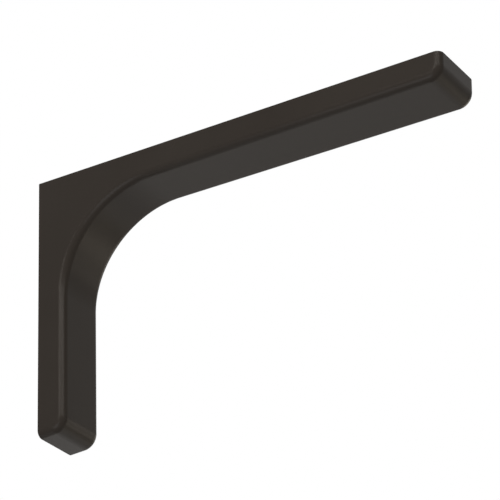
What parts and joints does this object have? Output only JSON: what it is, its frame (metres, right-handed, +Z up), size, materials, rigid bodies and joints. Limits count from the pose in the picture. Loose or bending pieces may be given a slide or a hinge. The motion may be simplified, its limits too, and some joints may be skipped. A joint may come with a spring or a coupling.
{
  "type": "shelf bracket",
  "caption": "Shelf bracket: a pressed steel angle that screws to wall and shelf, under a dark brown moulded clip-on cover with a large rounded elbow.",
  "frame": {"origin": "the corner where the wall plane and the shelf plane meet, at mid width", "axes": "+X out from the wall along the shelf arm, +Y across the bracket, +Z up; the wall arm hangs down from the origin"},
  "size_m": [0.18, 0.028, 0.109],
  "materials": {
    "cover_plastic": "moulded plastic, dark umber brown, satin",
    "zinc_steel": "pressed steel strip, zinc plated, satin"
  },
  "bodies": {
    "root": {"cover": "cover_plastic", "steel_angle": "zinc_steel"}
  },
  "joints": []
}
